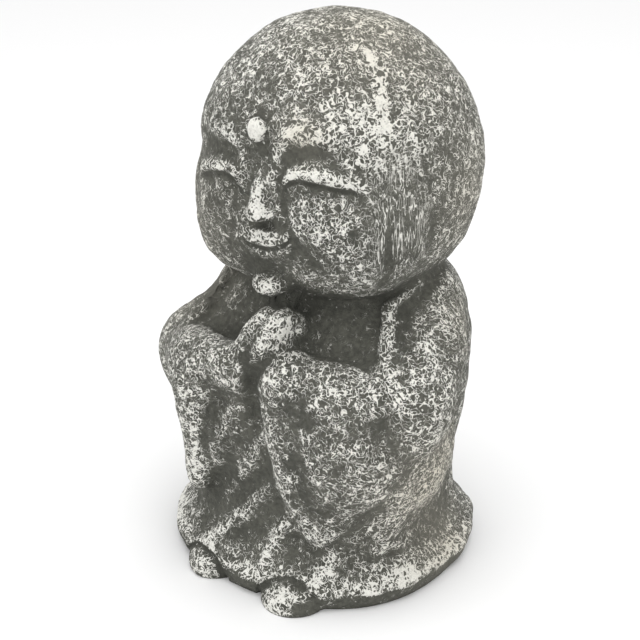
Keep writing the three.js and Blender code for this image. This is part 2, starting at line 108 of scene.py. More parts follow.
class Studio(bpy.types.PropertyGroup):
    """Camera place and light levels."""

    camera_turn: bpy.props.FloatProperty(
        name="Camera turn", description="Angle from the front towards the figure's left",
        default=math.radians(36.0), subtype="ANGLE")
    camera_climb: bpy.props.FloatProperty(
        name="Camera climb", description="Angle above the level",
        default=math.radians(24.5), subtype="ANGLE")
    camera_distance: bpy.props.FloatProperty(
        name="Camera distance", description="From the point looked at",
        default=0.515, min=0.05, unit="LENGTH")
    lens: bpy.props.FloatProperty(
        name="Lens", description="Focal length for a 36 mm sensor",
        default=75.375, min=10.0, subtype="DISTANCE_CAMERA", unit="CAMERA")
    floor_colour: bpy.props.FloatVectorProperty(
        name="Floor", description="Colour of the floor", subtype="COLOR", size=3,
        default=(0.93, 0.93, 0.93), min=0.0, max=1.0)
    sky_light: bpy.props.FloatProperty(
        name="Sky light", description="Strength of the light from all round", default=0.95, min=0.0)
    top_light: bpy.props.FloatProperty(
        name="Top light", description="Power of the soft light overhead", default=4.5, min=0.0, unit="POWER")


# Helpers on arrays of numbers

def bump(x, width):
    """A bell: e to the minus (x over width) squared."""
    return np.exp(-(x / width) ** 2)


def smooth_step(start, end, x):
    """Rises from 0 at start to 1 at end as 3t^2 - 2t^3."""
    t = np.clip((x - start) / (end - start), 0.0, 1.0)
    return t * t * (3.0 - 2.0 * t)


def soft_union(a, b, k):
    """The smaller distance, lowered by h^2 k / 4 where the two are within k."""
    h = np.maximum(k - np.abs(a - b), 0.0) / k
    return np.minimum(a, b) - h * h * k * 0.25


def soft_cut(a, b, k):
    """The soft union turned inside out."""
    return -soft_union(-a, b, k)


def ellipsoid(p, centre, radii, pitch=0.0):
    """k0 (k0 - 1) / k1, with k0 the point's length over the radii and k1 over their squares."""
    q = p - np.asarray(centre)
    c, s = math.cos(math.radians(pitch)), math.sin(math.radians(pitch))
    q = np.stack([q[:, 0], q[:, 1] * c + q[:, 2] * s, q[:, 2] * c - q[:, 1] * s], axis=1)
    radii = np.asarray(radii, dtype=float)
    near = np.linalg.norm(q / radii, axis=1)
    steep = np.linalg.norm(q / radii ** 2, axis=1)
    return near * (near - 1.0) / np.maximum(steep, 1e-9)


def limb(p, joints, radii):
    """Distance to round cones: the way to each bone less a radius that runs along it."""
    joints = np.asarray(joints, dtype=float)
    nearest = np.full(len(p), np.inf)
    for start, end, r0, r1 in zip(joints[:-1], joints[1:], radii[:-1], radii[1:]):
        bone = end - start
        t = np.clip((p - start) @ bone / (bone @ bone), 0.0, 1.0)
        off = np.linalg.norm(p - start - t[:, None] * bone, axis=1)
        nearest = np.minimum(nearest, off - r0 - t * (r1 - r0))
    return nearest


def cloth_panel(p, a, b, c, thickness):
    """Distance to a triangle less a thickness, which may differ from point to point."""
    corners = [np.asarray(corner, dtype=float) for corner in (a, b, c)]
    edges = [corners[(i + 1) % 3] - corners[i] for i in range(3)]
    normal = np.cross(edges[0], corners[0] - corners[2])
    inside = np.ones(len(p), dtype=bool)
    nearest = np.full(len(p), np.inf)
    for corner, edge in zip(corners, edges):
        q = p - corner
        t = np.clip(q @ edge / (edge @ edge), 0.0, 1.0)
        nearest = np.minimum(nearest, np.linalg.norm(q - t[:, None] * edge, axis=1))
        inside &= q @ np.cross(edge, normal) <= 0.0
    plane = np.abs((p - corners[0]) @ normal) / np.linalg.norm(normal)
    return np.where(inside, plane, nearest) - thickness


def course(points, steps=6):
    """A Catmull-Rom curve through a few points of a plane."""
    points = np.asarray(points, dtype=float)
    spans = len(points) - 1
    places = np.linspace(0.0, spans, spans * steps + 1)
    i = np.minimum(places.astype(int), spans - 1)
    t = (places - i)[:, None]
    before, start = points[np.maximum(i - 1, 0)], points[i]
    end, after = points[i + 1], points[np.minimum(i + 2, spans)]
    leave, arrive = (end - before) * 0.5, (after - start) * 0.5
    return (
        (2 * start - 2 * end + leave + arrive) * t ** 3
        + (-3 * start + 3 * end - 2 * leave - arrive) * t ** 2
        + leave * t + start)


def ridge(u, v, line, height, width):
    """A bell of the distance to a course, times the root of a sine along it."""
    nearest = np.full(len(u), np.inf)
    share = np.zeros(len(u))
    for i, (start, end) in enumerate(zip(line[:-1], line[1:])):
        du, dv = end - start
        t = np.clip(((u - start[0]) * du + (v - start[1]) * dv) / (du * du + dv * dv), 0.0, 1.0)
        off = np.hypot(u - start[0] - t * du, v - start[1] - t * dv)
        closer = off < nearest
        nearest = np.where(closer, off, nearest)
        share = np.where(closer, (i + t) / (len(line) - 1), share)
    fade = np.sqrt(np.sin(np.pi * np.clip(share, 0.03, 0.97)))
    return height * fade * bump(nearest, width)


def wave_noise(p, size, seed, waves=9):
    """A sum of sines in directions drawn from a seed, brought to about -1 to 1."""
    draw = np.random.default_rng(seed)
    across = draw.normal(size=(waves, 3))
    across *= (draw.uniform(0.7, 1.5, waves) / np.linalg.norm(across, axis=1))[:, None]
    start = draw.uniform(0.0, 2.0 * np.pi, waves)
    level = 0.98 / math.sqrt(waves * 2.0)
    return level * np.sin(p @ across.T * (2.0 * np.pi / size) + start).sum(axis=1)


# The figure's proportions, in parts: 210 of them to the height

# The robe's sections: height, half width, reach to the front, reach to the
# back, and how far back the section's middle lies
HEM_SIDE = 60.0
HEM_REACH = 55.8
SHOULDER_SIDE = 49.0
ROBE_SECTIONS = np.array([
    (0, HEM_SIDE - 3.0, HEM_REACH - 0.4, HEM_REACH - 5.2, -0.5),
    (5, HEM_SIDE - 0.8, HEM_REACH + 1.6, HEM_REACH - 3.0, -0.5),
    (8.5, HEM_SIDE - 0.8, HEM_REACH + 1.4, HEM_REACH - 3.2, -0.3),
    (13, HEM_SIDE - 5.8, HEM_REACH - 1.6, HEM_REACH - 6.4, 0),
    (20, HEM_SIDE - 10.8, HEM_REACH - 6.0, HEM_REACH - 8.6, 0),
    (39, SHOULDER_SIDE - 2.8, 46.5, 46.2, 0.8),
    (57, SHOULDER_SIDE - 0.6, 46, 48.4, 2),
    (75, SHOULDER_SIDE + 0.5, 46, 49.5, 3),
    (92, SHOULDER_SIDE - 0.5, 40, 48.5, 4.5),
    (108, SHOULDER_SIDE - 6, 31, 43, 6),
    (126, SHOULDER_SIDE - 23, 22, 26, 6),
], dtype=float)
ROBE_SQUARENESS = 2.35
ROBE_TOP = 124.0
HEM_SHIFT = 1.2

LAP_FOLDS = [
    (course([(9, 73), (1.5, 59), (-6.3, 45), (-15, 32)]), 2.6, 3.8),
    (course([(14, 52), (3, 39), (-7, 27), (-15, 18), (-21, 11)]), 2.8, 4.4),
    (course([(15, 33), (10, 23), (8, 13)]), 2.4, 3.6),
    (course([(-24, 31), (-34, 29), (-44, 33)]), 1.4, 4.5),
    (course([(30, 24), (31, 16), (28, 6)]), 1.4, 3.2),
]
BACK_FOLDS = 9
BACK_FOLD_HEIGHT = 0.9

FOOT_CENTRES = {True: (19.0, -48.5, 2.0), False: (18.8, -46.8, 2.8)}
FOOT_RADII = {True: np.array((13.2, 14.0, 8.2)), False: np.array((11.8, 14.0, 7.8))}
HEM_GAP = 0.9
ARCH_DEPTH = 52.0

ARM_JOINTS = {True: [(34, 10, 106), (45, -3, 93), (48.5, -21, 79)],
              False: [(33, 10, 105), (42, -3, 87), (50.3, -21, 71)]}
ARM_RADII = {True: (14.5, 15, 14.5), False: (14, 13.5, 14)}
ELBOW = (48, -20, 79)
RIGHT_ELBOW = (49, -20, 75)
COLLAR = [(22, 30, 116), (38, 14, 118), (39.5, -3, 118.5), (36, -14, 112), (40, -21, 102), (43.5, -27, 93),
          (45, -32, 86)]
COLLAR_RADIUS = 2.5

FOREARM_RADII = (13, 10.5, 8.5)
LEFT_FOREARM = [ELBOW, (33, -37.5, 85), (11.5, -43, 89)]
LEFT_EDGE = [(11.5, -43, 89), (10.5, -44, 79), (13.5, -44.5, 64), (17, -42.5, 45), (23.8, -39, 30)]
LEFT_EDGE_RADII = (8.5, 8.5, 8.2, 7.5, 7.5)
LEFT_SLEEVE_TOP = (13, -42, 86)
LEFT_SLEEVE_TIP = (26, -37, 34)
LEFT_SLEEVE_BACK = (43, -14, 50)
LEFT_SLEEVE_FILLS = [((34, -14, 62), (20, 26, 24), 14.0), ((30, -35, 64), (20, 15, 24), 12.0)]
RIGHT_FOREARM = [RIGHT_ELBOW, (33, -40.5, 84), (8, -49.5, 90)]
RIGHT_CREST = [(23, -47.5, 84), (27.5, -46.5, 73), (29, -46, 58), (31.5, -43.5, 34)]
RIGHT_CREST_RADII = (4.5, 4.6, 4.2, 3.4)
RIGHT_SLEEVE_TOP = (27, -46, 76)
RIGHT_SLEEVE_TIP = (28.5, -44.5, 35)
RIGHT_SLEEVE_HAND = (4, -46, 82)
RIGHT_SLEEVE_BACK = (47, -19, 38)
RIGHT_SLEEVE_FILL = ((9, -36, 60), (25, 12.5, 28), 8.0)
PALM_CORE = [(3, -42, 97), (5, -32, 101)]
PALM_CORE_RADII = (4, 6)
PALM_CENTRE = (2.9, -41.5, 100.5)
PALM_RADII = (6.0, 11.0, 13.0)
PALM_LEAN = -22.0
PALM_MIDDLE = 1.2
PALM_ROLL = 0.35

HEAD_CENTRE = np.array((0.0, 5.6, 155.4))
HEAD_RADII = (53.6, 51.2, 54.6)
AROUND = 49.0
BROW = course([(6, 160), (8, 170), (13, 175.7), (21, 177.6), (29, 175.5)])
CHEEK_GROOVE = course([(9.6, 167), (10, 158), (10.8, 149), (13, 142), (17.5, 135), (23, 128)])
CHIN_CENTRE = (-1.5, -34.8, 118.6)
CHIN_RADII = (7.4, 5.9, 4.3)
BEAD_CENTRE = (0.0, -42.2, 177.5)
BEAD_RADII = (3.6, 3.4, 4.2)
CREASE_START = 10.0
CREASE_REACH = 32.2
CREASE_FOOT = 156.0
CREASE_RISE = 7.7
RIGHT_EYE_INWARD = 3.0
RIGHT_EYE_LOWER = 1.8
RIGHT_BROW_LOWER = 2.5

# Hills and hollows of the face: a name, a height, then the place and reach
# around from the nose, and the place and reach upwards
CHEEK_BELLS = [
    ("temple hollow", -2.4, 42.0, 15.0, 160.0, 9.0),
    ("jowl", 4.6, 44.0, 17.0, 131.0, 14.0),
    ("cheek", 1.6, 25.0, 9.0, 145.0, 8.0),
]
SOCKET_BELLS = [
    ("inner socket", -2.0, 15.0, 5.5, 169.5, 4.0),
    ("outer socket", -1.5, 25.0, 9.0, 171.0, 4.0),
]
MIDDLE_BELLS = [
    ("under the nose", -2.6, 1.0, 5.0, 143.8, 2.1),
    ("upper lip", 2.2, 0.0, 9.0, 138.5, 4.2),
    ("under the lips", -0.8, 0.0, 9.0, 126.5, 2.4),
]


def robe_sizes(z):
    """Cubic steps between the sections, each leaving and arriving at the mean of its slopes."""
    heights, sizes = ROBE_SECTIONS[:, 0], ROBE_SECTIONS[:, 1:]
    span = np.diff(heights)
    rates = np.diff(sizes, axis=0) / span[:, None]
    rates = np.vstack([rates[:1], rates, rates[-1:]])
    held = np.clip(z, heights[0], heights[-1])
    i = np.clip(np.searchsorted(heights, held, side="left") - 1, 0, len(span) - 1)
    t = ((held - heights[i]) / span[i])[:, None]
    leave = (rates[i] + rates[i + 1]) * 0.5 * span[i][:, None]
    arrive = (rates[i + 1] + rates[i + 2]) * 0.5 * span[i][:, None]
    start, end = sizes[i], sizes[i + 1]
    mixed = (start * (2 * t ** 3 - 3 * t ** 2 + 1) + leave * (t ** 3 - 2 * t ** 2 + t)
             + end * (3 * t ** 2 - 2 * t ** 3) + arrive * (t ** 3 - t ** 2))
    return mixed.T


def robe(p):
    """A squarish oval at each height, less its folds: a bell ridge per lap fold, waves behind."""
    side, front, back, middle = robe_sizes(p[:, 2])
    y = p[:, 1] - middle
    reach = np.where(y < 0.0, front, back)
    n = ROBE_SQUARENESS
    x = np.abs(p[:, 0] + HEM_SHIFT * smooth_step(34.0, 12.0, p[:, 2]))
    share = ((x / side) ** n + (np.abs(y) / reach) ** n + 1e-12) ** (1.0 / n)
    distance = np.maximum((share - 1.0) * np.minimum(side, reach) * 0.92, p[:, 2] - ROBE_TOP)
    lap = (y < 0.0) & (p[:, 2] < 80.0) & (np.abs(distance) < 14.0)
    if lap.any():
        u, v = p[lap, 0], p[lap, 2]
        carved = np.zeros(len(u))
        for line, height, width in LAP_FOLDS:
            carved += ridge(u, v, line, height, width)
        distance[lap] -= carved
    around = np.arctan2(p[:, 0], -y)
    tall = smooth_step(112.0, 80.0, p[:, 2]) * smooth_step(2.0, 30.0, p[:, 2])
    behind = smooth_step(1.6, 2.4, np.abs(around)) * tall
    return distance - BACK_FOLD_HEIGHT * behind * np.cos(around * BACK_FOLDS + 0.6 * np.sin(p[:, 2] * 0.05))


def foot(q, is_left, grow):
    """An ellipsoid, grown by a gap for the hem's arch."""
    return ellipsoid(q, FOOT_CENTRES[is_left], FOOT_RADII[is_left] + grow)


def arm(q, is_left):
    """A limb from the shoulder to the elbow."""
    return limb(q, ARM_JOINTS[is_left], ARM_RADII[is_left])


def sleeve(q, is_left):
    """The forearm softly joined with triangles of cloth that hang from it."""
    if is_left:
        fore_arm = limb(q, LEFT_FOREARM, FOREARM_RADII)
        thick = 3.5 + 4.5 * smooth_step(-14.0, -36.0, q[:, 1])
        cloth = cloth_panel(q, LEFT_SLEEVE_TOP, LEFT_SLEEVE_TIP, ELBOW, thick)
        cloth = soft_union(cloth, cloth_panel(q, LEFT_SLEEVE_TIP, LEFT_SLEEVE_BACK, ELBOW, thick), 6.0)
        for centre, radii, k in LEFT_SLEEVE_FILLS:
            cloth = soft_union(cloth, ellipsoid(q, centre, radii), k)
        cloth = soft_union(cloth, limb(q, LEFT_EDGE, LEFT_EDGE_RADII), 5.0)
    else:
        fore_arm = limb(q, RIGHT_FOREARM, FOREARM_RADII)
        thick = 2.0 + 8.5 * np.clip((q[:, 2] - 35.0) / 40.0, 0.0, 1.0)
        cloth = cloth_panel(q, RIGHT_SLEEVE_HAND, RIGHT_SLEEVE_TIP, RIGHT_SLEEVE_TOP, 3.5)
        centre, radii, k = RIGHT_SLEEVE_FILL
        cloth = soft_union(cloth, ellipsoid(q, centre, radii), k)
        cloth = soft_union(cloth, limb(q, RIGHT_CREST, RIGHT_CREST_RADII), 5.0)
        outer = cloth_panel(q, RIGHT_SLEEVE_TOP, RIGHT_SLEEVE_TIP, RIGHT_ELBOW, thick)
        behind = cloth_panel(q, RIGHT_SLEEVE_TIP, RIGHT_SLEEVE_BACK, RIGHT_ELBOW, thick)
        cloth = soft_union(cloth, soft_union(outer, behind, 8.0), 6.0)
    return soft_union(fore_arm, cloth, 7.0)


def palm(p, side):
    """A leaning ellipsoid, set a little towards the figure's left and rolled that way too."""
    q = p.copy()
    q[:, 0] -= PALM_MIDDLE + PALM_ROLL * (p[:, 2] - PALM_CENTRE[2])
    return ellipsoid(q * (side, 1.0, 1.0), PALM_CENTRE, PALM_RADII, PALM_LEAN)


def right_share(u):
    """0 on the face's left half, 1 on its right, whose eye lies lower and nearer the nose."""
    return smooth_step(4.0, -5.0, u)


def over_crease(u, v):
    """Height over a closed eye's crease, which rises quickly from the nose and then falls slowly."""
    right = right_share(u)
    s = np.clip((np.abs(u) - CREASE_START + RIGHT_EYE_INWARD * right) / CREASE_REACH, 0.0, 1.0) * 1.15
    rise = CREASE_RISE * (1.0 - (1.0 - np.minimum(s, 1.0)) ** 9)
    return v - (CREASE_FOOT + rise - (6.8 + 1.2 * right) * s ** 1.4) + RIGHT_EYE_LOWER * right


def along_crease(u, start, full, fade, end):
    """Where a crease's lid lies on the way around from the nose."""
    a = np.abs(u) + RIGHT_EYE_INWARD * right_share(u)
    return smooth_step(start, full, a) * smooth_step(end, fade, a)


def bells(around, up, table):
    """A sum of heights, each times a bell around and a bell upwards."""
    total = np.zeros(len(around))
    for _, height, place, reach, level, rise in table:
        total += height * bump(around - place, reach) * bump(up - level, rise)
    return total


def face_relief(u, v):
    """Sum of bells and ridges over u, the way around from the nose, and v, the height."""
    a = np.abs(u)
    relief = -3.6 * bump(u, 13.0) * smooth_step(118.0, 136.0, v) * smooth_step(178.0, 166.0, v)
    relief += bells(a, v, CHEEK_BELLS) + bells(u, v, MIDDLE_BELLS)
    # The jaw is fuller on the figure's right
    relief += (2.0 - u / 30.0) * bump(a - 38.0, 16.0) * bump(v - 121.0, 9.0)
    # Sockets and brows
    high = v + RIGHT_BROW_LOWER * right_share(u)
    relief += bells(a, high, SOCKET_BELLS) + ridge(a, high, BROW, 1.2, 3.6)
    # Lids over the closed eyes
    along_lid = along_crease(u, 8.8, 11.0, 31.0, 41.0)
    above = over_crease(u, v)
    relief += along_lid * 1.9 * bump(above - 2.8, 2.5)
    relief -= along_lid * 1.2 * bump(above + 0.2, 0.65)
    relief -= along_lid * 0.5 * smooth_step(0.3, -0.6, above) * smooth_step(-9.0, 0.0, above)
    # Nose, highest and widest at its tip, with a flat underside
    down = np.clip((167.0 - v) / 21.0, 0.0, 1.0)
    nose_side = 2.0 + 4.7 * down ** 2.2
    nose_end = 145.4 + 2.2 * np.clip(a / 8.0, 0.0, 1.0) ** 1.6
    section = np.exp(-(a / (0.8 * nose_side)) ** 2.6)
    rise = 0.2 + 6.0 * down ** 1.4
    relief += rise * section * smooth_step(-0.9, 0.9, v - nose_end) * smooth_step(171.0, 163.0, v)
    relief -= ridge(a, v, CHEEK_GROOVE, 1.2, 1.8) * (1.0 - 0.5 * right_share(u))
    # The mouth's line with a lip on either side
    over_mouth = v - 134.0 - 3.3 * np.minimum(1.8, (a / 10.5) ** 2) - 0.12 * u
    along_mouth = smooth_step(14.0, 11.0, u) * smooth_step(-13.5, -10.0, u)
    relief += along_mouth * 0.7 * bump(over_mouth - 1.8, 1.6)
    relief -= along_mouth * 0.95 * bump(over_mouth, 0.75)
    relief += along_mouth * 0.9 * bump(over_mouth + 2.8, 2.4)
    # Long low ears with a groove before them
    ear_width = smooth_step(46.0, 50.0, a) * smooth_step(64.0, 54.0, a)
    ear_length = smooth_step(116.0, 128.0, v) * smooth_step(164.0, 150.0, v)
    relief += 0.8 * ear_width * ear_length
    relief -= 0.9 * bump(a - 45.3, 1.7) * smooth_step(112.0, 122.0, v) * smooth_step(148.0, 134.0, v)
    return relief


def head_place(p):
    """The head's own x, y and z at a point, with the tilt undone."""
    tilt = bpy.context.scene.monk_shape.head_tilt
    q = p - HEAD_CENTRE
    c, s = math.cos(tilt), math.sin(tilt)
    return np.stack([c * q[:, 0] + s * q[:, 2], q[:, 1], c * q[:, 2] - s * q[:, 0]], axis=1)


def head(p):
    """An ellipsoid less the face's relief, softly joined with the chin and the brow bead."""
    r = head_place(p)
    distance = ellipsoid(r, (0, 0, 0), HEAD_RADII)
    face = (np.abs(distance) < 14.0) & (r[:, 1] < 16.0)
    if face.any():
        around = np.arctan2(r[face, 0], -r[face, 1]) * AROUND
        distance[face] -= face_relief(around, r[face, 2] + HEAD_CENTRE[2])
    distance = soft_union(distance, ellipsoid(p, CHIN_CENTRE, CHIN_RADII), 4.0)
    return soft_union(distance, ellipsoid(p, BEAD_CENTRE, BEAD_RADII), 1.2)


def join_where(distance, near, shape, k):
    """Softly joins a shape's distance where it matters, and leaves the rest as it was."""
    if near.any():
        distance[near] = soft_union(distance[near], shape(near), k)


def figure(p):
    """The whole figure's signed distance: every piece joined, the hem cut back over the toes."""
    distance = robe(p)
    x, y, z = p.T
    sides = [(True, p), (False, p * (-1.0, 1.0, 1.0))]
    low_front = (z < 30.0) & (y < -25.0)
    if low_front.any():
        for is_left, q in sides:
            arch = np.maximum(foot(q[low_front], is_left, HEM_GAP), q[low_front, 1] + ARCH_DEPTH)
            distance[low_front] = soft_cut(distance[low_front], arch, 2.0)
    for is_left, q in sides:
        upper = (q[:, 0] > 5.0) & (z > 50.0) & (z < 135.0)
        join_where(distance, upper, lambda near: arm(q[near], is_left), 10.0)
        hanging = (q[:, 0] > -12.0) & (y < 8.0) & (z > 18.0) & (z < 116.0)
        fade = 4.0 + 9.0 * smooth_step(-36.0, -22.0, y[hanging])
        fade += 14.0 * smooth_step(-42.0, -27.0, y[hanging]) * smooth_step(70.0, 42.0, z[hanging])
        join_where(distance, hanging, lambda near: sleeve(q[near], is_left), fade)
    for _, q in sides:
        shoulder = (q[:, 0] > 10.0) & (z > 80.0) & (z < 132.0)
        join_where(distance, shoulder, lambda near: limb(q[near], COLLAR, [COLLAR_RADIUS] * len(COLLAR)), 3.5)
    hands = (np.abs(x) < 24.0) & (y < -20.0) & (z > 76.0) & (z < 126.0)
    join_where(distance, hands, lambda near: limb(p[near], PALM_CORE, PALM_CORE_RADII), 6.0)
    hold = 4.0 + 5.0 * smooth_step(-42.0, -32.0, y[hands])
    join_where(distance, hands, lambda near: soft_union(palm(p[near], 1.0), palm(p[near], -1.0), 2.2), hold)
    join_where(distance, z > 92.0, lambda near: head(p[near]), 2.2)
    for is_left, q in sides:
        join_where(distance, low_front, lambda near: foot(q[near], is_left, 0.0), 1.2)
    return distance


# How the surface is found: lengths in parts
SLOPE_STEP = 0.15
LEAST_STEEPNESS = 0.25
OUTSIDE_REACH = 95.0
MOST_STEPS = 160
STEP_SHARE = 0.8
LEAST_STEP = 0.03
NEAR_ENOUGH = 0.02


def slope(p):
    """The form's outward slope, from the four corners of a small tetrahedron."""
    total = np.zeros_like(p)
    for corner in np.array([(1, -1, -1), (-1, -1, 1), (-1, 1, -1), (1, 1, 1)], dtype=float):
        total += corner * (figure(p + SLOPE_STEP * corner) / (4.0 * SLOPE_STEP))[:, None]
    return total


def settle(p, normal):
    """One Newton step onto the form along a known slope."""
    steepness = np.maximum((normal ** 2).sum(axis=1), LEAST_STEEPNESS)
    return p - normal * (figure(p) / steepness)[:, None]


def drop_onto(origins, directions):
    """Walks in from outside, a share of the distance at a time, until the form is met."""
    reach = np.full(len(origins), OUTSIDE_REACH)
    moving = np.arange(len(origins))
    for _ in range(MOST_STEPS):
        distance = figure(origins[moving] + reach[moving, None] * directions[moving])
        far = distance >= NEAR_ENOUGH
        moving = moving[far]
        if len(moving) == 0:
            break
        reach[moving] -= np.maximum(LEAST_STEP, distance[far] * STEP_SHARE)
    return origins + reach[:, None] * directions


# The surface grid: coarse rows and columns, then four times as many each way
COARSE_COLUMNS = 75
FRONT_CROWDING = 0.5
REFINEMENT = 4
COARSE_ROUNDS = 12
SETTLING_ROUNDS = 2
FINE_ROUNDS = 4
FLOOR_ROUNDS = 3
ROW_BANDS = [("hem", 0.0, 14.0, 7), ("robe", 14.0, 84.0, 20), ("arms and neck", 84.0, 124.0, 18),
             ("lower face", 124.0, HEAD_CENTRE[2], 14)]
DOME_BANDS = [("brow", 0.0, 30.0, 12), ("crown", 30.0, 90.0, 9)]
LOWEST_FREE_ROW = 0.5


def crown_over(row):
    """The middle of the top row, put onto the form."""
    middle = row.mean(axis=0, keepdims=True)
    return settle(middle, slope(middle))[0]


def even_out(grid):
    """Moves each point half way to its neighbours' middle, along the surface."""
    crown = crown_over(grid[-1])
    above = np.concatenate([grid[2:], np.broadcast_to(crown, (1,) + grid.shape[1:])])
    free = grid[1:]
    beside = np.roll(free, 1, axis=1) + np.roll(free, -1, axis=1)
    middle = (grid[:-1] + above + beside) / 4.0
    p, pull = free.reshape(-1, 3), (middle - free).reshape(-1, 3)
    normal = slope(p)
    along = (pull * normal).sum(axis=1) / np.maximum((normal ** 2).sum(axis=1), 1e-6)
    moved = settle(p + 0.5 * (pull - along[:, None] * normal), normal)
    moved = settle(moved, slope(moved))
    moved[:, 2] = np.maximum(LOWEST_FREE_ROW, moved[:, 2])
    return np.concatenate([grid[:1], moved.reshape(free.shape)])


def refine(grid, times):
    """Straight steps between the grid's points, round the columns and up to the crown."""
    rows, columns = grid.shape[:2]
    crown = np.broadcast_to(crown_over(grid[-1]), (1, columns, 3))
    tall = np.concatenate([grid, crown])
    place = np.arange(rows * times) / times
    j = place.astype(int)
    up = (place - j)[:, None, None]
    tall = tall[j] * (1.0 - up) + tall[j + 1] * up
    place = np.arange(columns * times) / times
    i = place.astype(int)
    on = (place - i)[None, :, None]
    return tall[:, i] * (1.0 - on) + tall[:, (i + 1) % columns] * on


def surface_grid():
    """Rays from the middle axis give the coarse grid, which is evened out, refined and settled."""
    heights, climbs = [], []
    for _, start, end, rows in ROW_BANDS:
        heights += list(np.linspace(start, end, rows, endpoint=False))
        climbs += [0.0] * rows
    for _, start, end, rows in DOME_BANDS:
        heights += [HEAD_CENTRE[2]] * rows
        climbs += list(np.radians(np.linspace(start, end, rows, endpoint=False)))
    heights, climbs = np.array(heights), np.array(climbs)
    turn = np.arange(COARSE_COLUMNS) * (2.0 * np.pi / COARSE_COLUMNS)
    angle = turn - FRONT_CROWDING * np.sin(turn)
    back = HEAD_CENTRE[1] * smooth_step(0.0, HEAD_CENTRE[2], heights)
    flat, rise = np.cos(climbs)[:, None], np.sin(climbs)[:, None]
    directions = np.stack([flat * np.sin(angle), -flat * np.cos(angle), rise * np.ones_like(angle)], axis=2)
    middles = np.stack([np.zeros_like(heights), back, heights], axis=1)
    origins = middles[:, None, :] * np.ones((1, len(angle), 1))
    grid = drop_onto(origins.reshape(-1, 3), directions.reshape(-1, 3)).reshape(directions.shape)
    for _ in range(COARSE_ROUNDS):
        grid = even_out(grid)
    grid = refine(grid, REFINEMENT)
    floor_row = grid[0].copy()
    points = grid.reshape(-1, 3)
    for _ in range(SETTLING_ROUNDS):
        points = settle(points, slope(points))
    grid = points.reshape(grid.shape)
    for _ in range(FINE_ROUNDS):
        grid[0, :, 2] = 0.0
        grid = even_out(grid)
    grid[0, :, :2] = on_floor(floor_row)
    grid[0, :, 2] = 0.0
    return grid


def on_floor(row):
    """The bottom row's x and y, stepped onto the form's outline at the floor."""
    p = row.copy()
    for _ in range(FLOOR_ROUNDS):
        p[:, 2] = 0.0
        normal = slope(p)
        normal[:, 2] = 0.0
        p = settle(p, normal)
    return p[:, :2]


# Fine relief laid on the grid's points, in parts
BUBBLES = [((10.6, -58.6, 79.5), 1.3), ((52.0, -20.0, 30.0), 0.9), ((-30.0, 44.0, 70.0), 1.1),
           ((20.0, 51.0, 95.0), 0.8), ((-52.0, 10.0, 140.0), 0.9)]
HEM_EDGE_HEIGHT = 6.0
FINGER_LINES = (-3.2, -0.4, 2.4)
PAINT_CRUST = [(24, -12, 200), (29, -15, 195), (33, -18, 190), (37.5, -22, 181)]


def fine_relief(p, shape):
    """Sums of sines in three sizes and along the hem, then bells for crust, fingers and holes."""
    part = shape.height / PARTS_TALL
    relief = wave_noise(p, 22.0, 3) + 0.45 * wave_noise(p, 8.0, 5) + 0.22 * wave_noise(p, 3.8, 7, 14)
    relief *= shape.unevenness / part
    around = np.arctan2(p[:, 0], -p[:, 1])
    wavy = np.sin(around * 11.0 + 1.3) * 0.35 + np.sin(around * 23.0 + 0.4) * 0.25
    relief += wavy * bump(p[:, 2] - HEM_EDGE_HEIGHT, 4.5)
    crust = bump(limb(p, PAINT_CRUST, [0.0] * len(PAINT_CRUST)), 2.6)
    relief += crust * (0.45 + 0.6 * wave_noise(p, 5.0, 11))
    q = p - (0.0, PALM_CENTRE[1], PALM_CENTRE[2])
    c, s = math.cos(math.radians(PALM_LEAN)), math.sin(math.radians(PALM_LEAN))
    across, along = q[:, 1] * c + q[:, 2] * s, q[:, 2] * c - q[:, 1] * s
    from_middle = np.abs(p[:, 0] - PALM_MIDDLE - PALM_ROLL * q[:, 2])
    on_palm = smooth_step(11.0, 9.0, from_middle) * smooth_step(-6.0, -1.0, along) * (np.abs(along) < 15.0)
    for line in FINGER_LINES:
        relief -= (shape.finger_groove / part) * on_palm * bump(across - line, 0.7)
    for centre, radius in BUBBLES:
        off = np.linalg.norm(p - np.asarray(centre), axis=1)
        relief -= (shape.bubble_depth / part) * bump(off, radius)
    return relief * smooth_step(0.0, 1.5, p[:, 2])


